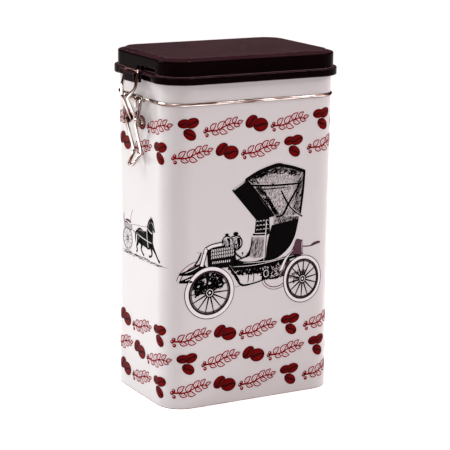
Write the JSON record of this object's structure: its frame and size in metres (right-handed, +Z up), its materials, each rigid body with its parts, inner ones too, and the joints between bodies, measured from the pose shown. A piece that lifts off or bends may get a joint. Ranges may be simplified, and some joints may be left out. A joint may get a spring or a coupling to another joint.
{
  "type": "hinged lid storage tin",
  "caption": "Upright rectangular tin with rounded corners, a hinged plastic lid with a flat seal, and a wire lever clasp that pulls a bail down over the lid's nose.",
  "frame": {"origin": "centre of the base, on the surface that the tin stands on", "axes": "+Z up; X along the long faces, with the clasp on the -X end and the hinge on the +X end; Y from the front face (-Y) to the back face"},
  "size_m": [0.125, 0.079, 0.195],
  "materials": {
    "tin_lacquer": "glossy pale lacquer with a printed decoration",
    "tinplate": "plain tinplate",
    "wire": "bright plated wire",
    "lid_plastic": "glossy dark brown moulding",
    "seal": "matt soft gasket",
    "print_ink": "printed inks under clear lacquer"
  },
  "bodies": {
    "tin": {"body_shell": "tin_lacquer", "bottom_plate": "tinplate", "ring_wire": "wire", "hinge_wire": "wire"},
    "lid": {"lid_shell": "lid_plastic", "lid_seal": "seal"},
    "lever": {"lever_wire": "wire"},
    "bail": {"bail_wire": "wire"}
  },
  "joints": [
    {"name": "lid_hinge", "type": "hinge", "parent": "tin", "child": "lid", "pos_m": [0.0594, 0, 0.1812], "axis": [0, 1, 0], "range_deg": [0, 105]},
    {"name": "lever_swing", "type": "hinge", "parent": "tin", "child": "lever", "pos_m": [-0.0572, 0, 0.17], "axis": [0, 1, 0], "range_deg": [0, 100]},
    {"name": "bail_swing", "type": "hinge", "parent": "lever", "child": "bail", "pos_m": [-0.0567, 0, 0.1578], "axis": [0, 1, 0], "range_deg": [-140, 0]}
  ],
  "couplings": [
    {"joint": "bail_swing", "follows": "lever_swing", "ratio": -1.4}
  ]
}
